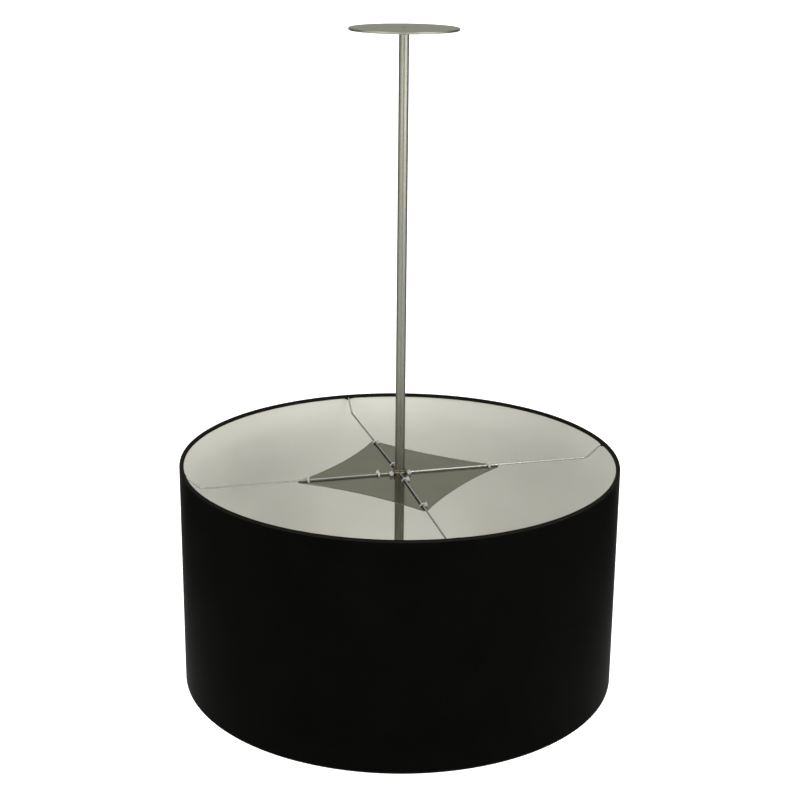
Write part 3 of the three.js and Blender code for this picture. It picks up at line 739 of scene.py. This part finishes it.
def add_plate():
    """The star-shaped sheet with its bore and soft edges, and the slots cut out of it."""
    sections = []
    for edge in plate_outline():
        bore = edge.normalized() * BORE_RADIUS
        face = edge - edge.normalized() * PLATE_EDGE_ROUND
        corners = (
            (bore, PLATE_FOOT), (face, PLATE_FOOT), (edge, PLATE_FOOT + PLATE_EDGE_ROUND),
            (edge, PLATE_TOP - PLATE_EDGE_ROUND), (face, PLATE_TOP), (bore, PLATE_TOP),
        )
        sections.append([(flat.x, flat.y, height) for flat, height in corners])
    sheet = bpy.data.objects.new("plate_sheet", lofted("plate_sheet", sections))
    slots = bpy.data.objects.new("plate_slots", slots_mesh())
    for obj in (sheet, slots):
        bpy.context.scene.collection.objects.link(obj)
    cut = sheet.modifiers.new("slots", "BOOLEAN")
    cut.object = slots
    slotted = sheet.evaluated_get(bpy.context.evaluated_depsgraph_get())
    mesh = bpy.data.meshes.new_from_object(slotted)
    for obj in (sheet, slots):
        bpy.data.objects.remove(obj)
    mesh.materials.clear()
    piece("heat_shield", smooth(mesh), "fixture", "heat_plate_steel", "heat_plate")


# Cable ties

def tie_loop(offset):
    """A tie's strap seen along the arm, as (across, up) from the wire's centre."""
    foot = PLATE_FOOT - WIRE_LEVEL - FIT_GAP - offset
    span = TIE_HALF_SPAN + offset
    shoulder = PLATE_TOP - WIRE_LEVEL + FIT_GAP
    radius = WIRE_RADIUS + FIT_GAP + offset
    crown = arc(0, 0, radius, TIE_ARC_RISE, math.pi - TIE_ARC_RISE, TIE_ARC_STEPS)
    return [(-span, foot), (0, foot), (span, foot), (span, shoulder), *crown, (-span, shoulder)]


def tie_mesh(name, side):
    """The strap round wire and plate, its head on one side of the wire, and its cut tail."""
    points, faces = [], []
    inner, outer = tie_loop(0), tie_loop(TIE_THICKNESS)
    half = TIE_WIDTH / 2
    for (inner_y, inner_z), (outer_y, outer_z) in zip(inner, outer):
        points += [(-half, inner_y, inner_z), (half, inner_y, inner_z)]
        points += [(half, outer_y, outer_z), (-half, outer_y, outer_z)]
    count = len(inner)
    for index in range(count):
        here, there = 4 * index, 4 * ((index + 1) % count)
        for corner in range(4):
            after = (corner + 1) % 4
            faces.append((here + corner, there + corner, there + after, here + after))
    foot = PLATE_TOP - WIRE_LEVEL + FIT_GAP
    top = foot + TIE_HEAD_HEIGHT
    near = side * TIE_HEAD_NEAR
    far = side * (TIE_HEAD_NEAR + TIE_HEAD_SPAN)
    half_head = TIE_HEAD_WIDTH / 2
    block(points, faces, (-half_head, min(near, far), foot), (half_head, max(near, far), top))
    tail_near = near + side * TIE_HEAD_SPAN / 2
    tail_far = tail_near + side * TIE_THICKNESS
    block(points, faces, (-half, min(tail_near, tail_far), top - TIE_THICKNESS),
          (half, max(tail_near, tail_far), top + TIE_TAIL_LENGTH))
    return mesh_of(name, points, faces)


def add_ties():
    for index, (arm, reach, side) in enumerate(TIES):
        name = f"nylon_tie_{index + 1}"
        mesh = tie_mesh(name, side)
        turn = Matrix.Rotation(ARM_AZIMUTHS[arm], 4, "Z")
        mesh.transform(turn @ Matrix.Translation((reach, 0, WIRE_LEVEL)))
        obj = piece(name, mesh, "fixture", "nylon", f"cable_tie_{index + 1}")
        edges = obj.modifiers.new("edges", "BEVEL")
        edges.width = TIE_BEVEL
        edges.segments = TIE_BEVEL_SEGMENTS
        edges.limit_method = "ANGLE"
        edges.harden_normals = True


# Lamp cluster

def add_cluster():
    radius = half_width("cluster_body")
    foot, top = heights("cluster_body")
    inside = radius - CLUSTER_WALL
    ceiling = top - CLUSTER_WALL
    body = rounded([
        (inside, foot, 0),
        (radius, foot, FIT_GAP),
        (radius, top, CLUSTER_CORNER),
        (BORE_RADIUS, top, FIT_GAP),
        (BORE_RADIUS, ceiling, 0),
        (inside, ceiling, CLUSTER_CORNER / 2),
    ])
    mesh = revolved("cluster_cup", body)
    piece("cluster_cup", mesh, "fixture", "cluster_nickel", "cluster_body")

    knob_foot, lip_top = heights("cluster_cover")
    plate_foot = foot - CLUSTER_WALL
    lip = inside - FIT_GAP
    lip_inside = lip - CLUSTER_WALL
    cover = rounded([
        (0, knob_foot, 0),
        (KNOB_RADIUS * KNOB_FACE, knob_foot, KNOB_ROUND),
        (KNOB_RADIUS, (knob_foot + plate_foot) / 2, KNOB_ROUND),
        (KNOB_RADIUS * KNOB_NECK, plate_foot, KNOB_NECK_ROUND),
        (radius, plate_foot, CLUSTER_CORNER / 2),
        (radius, foot, FIT_GAP),
        (lip, foot, 0),
        (lip, lip_top, FIT_GAP),
        (lip_inside, lip_top, FIT_GAP),
        (lip_inside, foot, 0),
        (0, foot, 0),
    ])
    mesh = revolved("cluster_lid", cover)
    piece("cluster_lid", mesh, "fixture", "cluster_nickel", "cluster_cover")


# Lamp holders and lamps, turned about Z and then laid along each arm

def screw_wave(depth, start, end):
    """A round screw thread cut into the radius between two heights."""
    def shape(radius, height, angle):
        if not start <= height <= end:
            return radius, height
        fade = min(1, (height - start) / THREAD_PITCH, (end - height) / THREAD_PITCH)
        return radius + depth * fade * math.sin(angle - math.tau * height / THREAD_PITCH), height
    return shape


def upright_steps(radius, start, end, steps):
    """A straight stretch of a profile, with the points that a thread needs."""
    return [(radius, start + (end - start) * step / steps) for step in range(steps + 1)]


def holder_cup_mesh():
    back, mouth = along_arm("holder_cup_1")
    radius = half_depth("holder_cup_1")
    bore = half_depth("holder_shell_1") + FIT_GAP
    neck_end = back + NECK_LENGTH
    shoulder = neck_end + SHOULDER_LENGTH
    cup = rounded([
        (BORE_RADIUS, back, 0),
        (NECK_RADIUS, back, SOFT_EDGE),
        (NECK_RADIUS, neck_end, SOFT_EDGE),
        (radius - HOLDER_LIP, shoulder, SHOULDER_ROUND),
        (radius - HOLDER_LIP, mouth - HOLDER_RIM_START, 0),
        (radius, mouth - HOLDER_RIM_LENGTH, SOFT_EDGE),
        (radius, mouth, SOFT_EDGE),
        (bore, mouth, SOFT_EDGE / 2),
        (bore, shoulder + HOLDER_FLOOR, 0),
        (BORE_RADIUS, shoulder + HOLDER_FLOOR, 0),
    ])

    def fluted(radius, height, angle):
        if height > neck_end or radius < NECK_RADIUS - SOFT_EDGE:
            return radius, height
        return radius + FLUTE_DEPTH * math.cos(FLUTES * angle), height

    return revolved("socket_cup", cup, TURNED_SEGMENTS, fluted)


def holder_shell_mesh():
    back, mouth = along_arm("holder_shell_1")
    radius = half_depth("holder_shell_1")
    inside = radius - THIN_WALL - THREAD_DEPTH / 2 + FIT_GAP / 2
    shell = [(SHELL_HOLE, back), (radius, back)]
    shell += upright_steps(radius - THREAD_DEPTH / 2, back + THIN_WALL, mouth, SHELL_STEPS)
    shell += upright_steps(inside, mouth, back + 2 * THIN_WALL, SHELL_STEPS)
    shell += [(SHELL_HOLE, back + THIN_WALL)]
    thread = screw_wave(THREAD_DEPTH / 2, back, mouth)
    return revolved("socket_shell", shell, THREADED_SEGMENTS, thread)


def cap_mesh():
    back, mouth = along_arm("bulb_cap_1")
    radius = half_depth("bulb_cap_1")
    cap = [(CAP_HOLE, back)]
    cap += upright_steps(
        radius - THREAD_DEPTH, back + THIN_WALL, mouth - 2 * THIN_WALL, CAP_STEPS)
    cap += [
        (radius, mouth - THIN_WALL),
        (radius, mouth),
        (radius - THIN_WALL, mouth),
        (radius - CAP_TAPER, back + CAP_TAPER_START),
        (CAP_HOLE, back + THIN_WALL),
    ]
    thread = screw_wave(THREAD_DEPTH, back, mouth - 3 * THIN_WALL)
    return revolved("lamp_cap", cap, THREADED_SEGMENTS, thread)


def tip_mesh():
    back, front = along_arm("bulb_tip_1")
    base = half_depth("bulb_cap_1") - THIN_WALL
    tip = rounded([
        (0, back, 0),
        (TIP_RADIUS, back, SOFT_EDGE),
        (TIP_RADIUS, back + TIP_FACE_DEPTH, SOFT_EDGE / 2),
        (base, front - THIN_WALL, SOFT_EDGE / 2),
        (base, front, 0),
        (0, front, 0),
    ])
    return revolved("lamp_tip", tip, TIP_SEGMENTS)


def bulb_mesh():
    """A smooth thin envelope, open at the neck inside the cap."""
    mouth = along_arm("bulb_cap_1")[1]
    end = along_arm("bulb_glass_1")[1]
    neck = half_depth("bulb_cap_1") - 2 * THIN_WALL
    radius = half_depth("bulb_glass_1")
    knots = [(mouth - BULB_NECK_DEPTH, neck), (mouth, neck)]
    knots += [(mouth + (end - mouth) * along, radius * across) for along, across in BULB_SHARES]
    outline = smooth_outline(knots)
    hollow = [(max(wide - BULB_WALL, 0), min(reach, end - BULB_WALL)) for wide, reach in outline]
    return revolved("lamp_bulb", outline + hollow[::-1], THREADED_SEGMENTS)


def smooth_outline(knots):
    """(radius, reach) points of a Catmull-Rom curve through (reach, radius) knots."""
    points = []
    last = len(knots) - 1
    for index in range(last):
        a, b, c, d = (Vector(knots[min(max(i, 0), last)]) for i in range(index - 1, index + 3))
        for step in range(CURVE_STEPS):
            t = step / CURVE_STEPS
            spot = 0.5 * (2 * b + (c - a) * t + (2 * a - 5 * b + 4 * c - d) * t ** 2
                          + (3 * b - a - 3 * c + d) * t ** 3)
            points.append((max(spot.y, 0), spot.x))
    points.append((knots[-1][1], knots[-1][0]))
    return points


# The pieces of a holder and its lamp: name, mesh, slot, body and node, with the lamp's number
LAMP_PIECES = (
    ("socket_cup", holder_cup_mesh, "holder", "fixture", "holder_cup"),
    ("socket_shell", holder_shell_mesh, "holder_brass", "fixture", "holder_shell"),
    ("lamp_cap", cap_mesh, "lamp_cap", "lamp_{}", "bulb_cap"),
    ("lamp_tip", tip_mesh, "lamp_tip", "lamp_{}_tip", "bulb_tip"),
    ("lamp_bulb", bulb_mesh, "lamp_glass", "lamp_{}", "bulb_glass"),
)


def add_lamps():
    lay_down = Matrix.Rotation(QUARTER, 4, "Y")
    lift = Matrix.Translation((0, 0, LAMP_LEVEL))
    for name, build, slot, body, node in LAMP_PIECES:
        mesh = build()
        for lamp in range(ARMS):
            number = lamp + 1
            copy = mesh.copy()
            copy.transform(lay_down)
            copy.transform(lift)
            copy.transform(Matrix.Rotation(lamp * QUARTER, 4, "Z"))
            piece(f"{name}_{number}", copy, body.format(number), slot, f"{node}_{number}")


# Studio

FLOOR_LEVEL = -3.4
FLOOR_RADIUS = 5
FLOOR_CENTRE = 0.001
WALL_TOP = 0.4
WALL_ROUND = 1.2
WALL_STEPS = 12
STAGE_SEGMENTS = 96
STAGE_COLOUR = (0.85, 0.85, 0.84, 1)
STAGE_GLOW = 0.36
STAGE_LIFT = 0.36
WORLD_COLOUR = (1, 1, 1, 1)
WORLD_LEVEL = 0.3

# Softboxes: azimuth in degrees from the camera's side, to the right; distance and level; width and
# height; radiance; and whether gloss shows them. Panels and cores give round metal its streaks, and
# the fills only light.
SOFTBOXES = (
    ("panel_left", -31, 3, -0.36, 2.5, 0.42, 4.2, True),
    ("panel_right", 47, 3, -0.36, 3, 0.42, 7.4, True),
    ("core_left", -50, 2.6, 1.5, 1, 0.8, 10.5, True),
    ("core_right", 48, 2.6, 1.5, 1, 0.8, 10.5, True),
    ("fill_left", -31, 3, 0.4, 2.5, 0.8, 1.75, False),
    ("fill_right", 47, 3, 0.4, 3, 0.8, 3.1, False),
    ("fill_back", 180, 3, 1.3, 3, 1.5, 3, False),
)

# Curtains: the azimuths where each starts and ends
FLAGS = (("flag_left", -150, -95), ("flag_right", 95, 150))
FLAG_DISTANCE = 3.2
FLAG_FOOT = -2.2
FLAG_TOP = 0.7
FLAG_STEPS = 16
FLAG_COLOUR = (0.05, 0.05, 0.045, 1)


def stage_object(name, mesh, material):
    """An object of the studio, which is no part of the chandelier."""
    mesh.materials.append(material)
    obj = bpy.data.objects.new(name, mesh)
    bpy.context.scene.collection.objects.link(obj)
    return obj


def add_stage():
    """A round floor that curves up into a low wall all round, white behind the object."""
    wall = arc(
        FLOOR_RADIUS - WALL_ROUND, FLOOR_LEVEL + WALL_ROUND, WALL_ROUND, -QUARTER, 0, WALL_STEPS)
    profile = [(FLOOR_CENTRE, FLOOR_LEVEL), *wall, (FLOOR_RADIUS, WALL_TOP)]
    count = len(profile)
    points, faces = [], []
    for segment in range(STAGE_SEGMENTS):
        angle = math.tau * segment / STAGE_SEGMENTS
        across, along = math.cos(angle), math.sin(angle)
        points += [(radius * across, radius * along, level) for radius, level in profile]
        here, there = segment * count, (segment + 1) % STAGE_SEGMENTS * count
        for row in range(count - 1):
            faces.append((here + row, there + row, there + row + 1, here + row + 1))
    mesh = bpy.data.meshes.new("stage_floor")
    mesh.from_pydata(points, [], faces)
    mesh.shade_smooth()
    stage_object("stage_floor", mesh, stage_material())


def lifted_glow(tree, strength, level, lift):
    """Sets an emission to a level, and higher by lift for camera, glossy and transmitted rays."""
    rays = tree.nodes.new("ShaderNodeLightPath")
    seen = rays.outputs["Is Camera Ray"]
    for kind in ("Is Glossy Ray", "Is Transmission Ray"):
        either = tree.nodes.new("ShaderNodeMath")
        either.operation = "MAXIMUM"
        tree.links.new(seen, either.inputs[0])
        tree.links.new(rays.outputs[kind], either.inputs[1])
        seen = either.outputs[0]
    lifted = tree.nodes.new("ShaderNodeMath")
    lifted.operation = "MULTIPLY_ADD"
    lifted.inputs[1].default_value = lift
    lifted.inputs[2].default_value = level
    tree.links.new(seen, lifted.inputs[0])
    tree.links.new(lifted.outputs[0], strength)


def stage_material():
    """Pale paint with a faint glow, lifted to full white where it is seen."""
    material = bpy.data.materials.new("stage_white")
    material.use_nodes = True
    tree = material.node_tree
    tree.nodes.clear()
    output = tree.nodes.new("ShaderNodeOutputMaterial")
    paint = tree.nodes.new("ShaderNodeBsdfDiffuse")
    paint.inputs["Color"].default_value = STAGE_COLOUR
    glow = tree.nodes.new("ShaderNodeEmission")
    both = tree.nodes.new("ShaderNodeAddShader")
    lifted_glow(tree, glow.inputs["Strength"], STAGE_GLOW, STAGE_LIFT)
    tree.links.new(paint.outputs[0], both.inputs[0])
    tree.links.new(glow.outputs[0], both.inputs[1])
    tree.links.new(both.outputs[0], output.inputs["Surface"])
    return material


def round_the_camera(azimuth, distance, level):
    """A spot round the object, with its azimuth in degrees counted from the camera's side."""
    angle = CAMERA_AZIMUTH + math.radians(azimuth)
    return distance * math.sin(angle), -distance * math.cos(angle), level


def add_softbox(name, azimuth, distance, level, width, height, radiance, gloss):
    """An area light that faces the object's axis at its own level."""
    data = bpy.data.lights.new(name, "AREA")
    data.shape = "RECTANGLE"
    data.size = width
    data.size_y = height
    data.energy = radiance * math.pi * width * height
    obj = bpy.data.objects.new(name, data)
    obj.location = round_the_camera(azimuth, distance, level)
    toward = Vector((0, 0, level)) - obj.location
    obj.rotation_euler = toward.to_track_quat("-Z", "Y").to_euler()
    obj.visible_camera = False
    obj.visible_glossy = gloss
    bpy.context.scene.collection.objects.link(obj)


def add_flag(name, start, end):
    """A dark curtain, seen only in gloss, that gives round metal its dark edges."""
    points = []
    for step in range(FLAG_STEPS + 1):
        azimuth = start + (end - start) * step / FLAG_STEPS
        points += [round_the_camera(azimuth, FLAG_DISTANCE, edge) for edge in (FLAG_FOOT, FLAG_TOP)]
    faces = [(2 * step, 2 * step + 2, 2 * step + 3, 2 * step + 1) for step in range(FLAG_STEPS)]
    mesh = bpy.data.meshes.new(name)
    mesh.from_pydata(points, [], faces)
    material = bpy.data.materials.new(name)
    material.use_nodes = True
    material.node_tree.nodes["Principled BSDF"].inputs["Base Color"].default_value = FLAG_COLOUR
    obj = stage_object(name, mesh, material)
    obj.visible_camera = obj.visible_diffuse = False
    obj.visible_shadow = obj.visible_transmission = False


def add_studio():
    add_stage()
    world = bpy.data.worlds.new("studio")
    bpy.context.scene.world = world
    world.use_nodes = True
    background = world.node_tree.nodes["Background"]
    background.inputs["Color"].default_value = WORLD_COLOUR
    lifted_glow(world.node_tree, background.inputs["Strength"], WORLD_LEVEL, 1 - WORLD_LEVEL)
    for softbox in SOFTBOXES:
        add_softbox(*softbox)
    for flag in FLAGS:
        add_flag(*flag)
    bpy.context.scene.view_settings.view_transform = "Standard"


def add_camera():
    """The photograph's camera, turned from its own frame to the object's."""
    turn = Matrix.Rotation(CAMERA_AZIMUTH, 3, "Z")
    forward = Vector((
        math.sin(-CAMERA_YAW) * math.cos(CAMERA_PITCH),
        math.cos(-CAMERA_YAW) * math.cos(CAMERA_PITCH),
        -math.sin(CAMERA_PITCH),
    ))
    right = Vector((math.cos(-CAMERA_YAW), -math.sin(-CAMERA_YAW), 0))
    up = right.cross(forward)
    leaned_right = right * math.cos(CAMERA_ROLL) + up * math.sin(CAMERA_ROLL)
    leaned_up = up * math.cos(CAMERA_ROLL) - right * math.sin(CAMERA_ROLL)
    axes = [turn @ axis for axis in (leaned_right, leaned_up, -forward)]
    place = turn @ Vector((0, -CAMERA_BACK, CAMERA_RISE))
    data = bpy.data.cameras.new("camera")
    data.sensor_width = SENSOR
    data.lens = FOCAL_SHARE * SENSOR
    camera = bpy.data.objects.new("camera", data)
    camera.matrix_world = Matrix((
        (axes[0].x, axes[1].x, axes[2].x, place.x),
        (axes[0].y, axes[1].y, axes[2].y, place.y),
        (axes[0].z, axes[1].z, axes[2].z, place.z),
        (0, 0, 0, 1),
    ))
    bpy.context.scene.collection.objects.link(camera)
    bpy.context.scene.camera = camera


add_camera()
dress_cad_nodes()
add_disc()
add_tube("stem_tube_upper", "stem_upper")
add_tube("stem_tube_lower", "stem_lower")
add_hub()
add_arms()
add_shade()
add_seam()
add_plate()
add_ties()
add_cluster()
add_lamps()
add_studio()
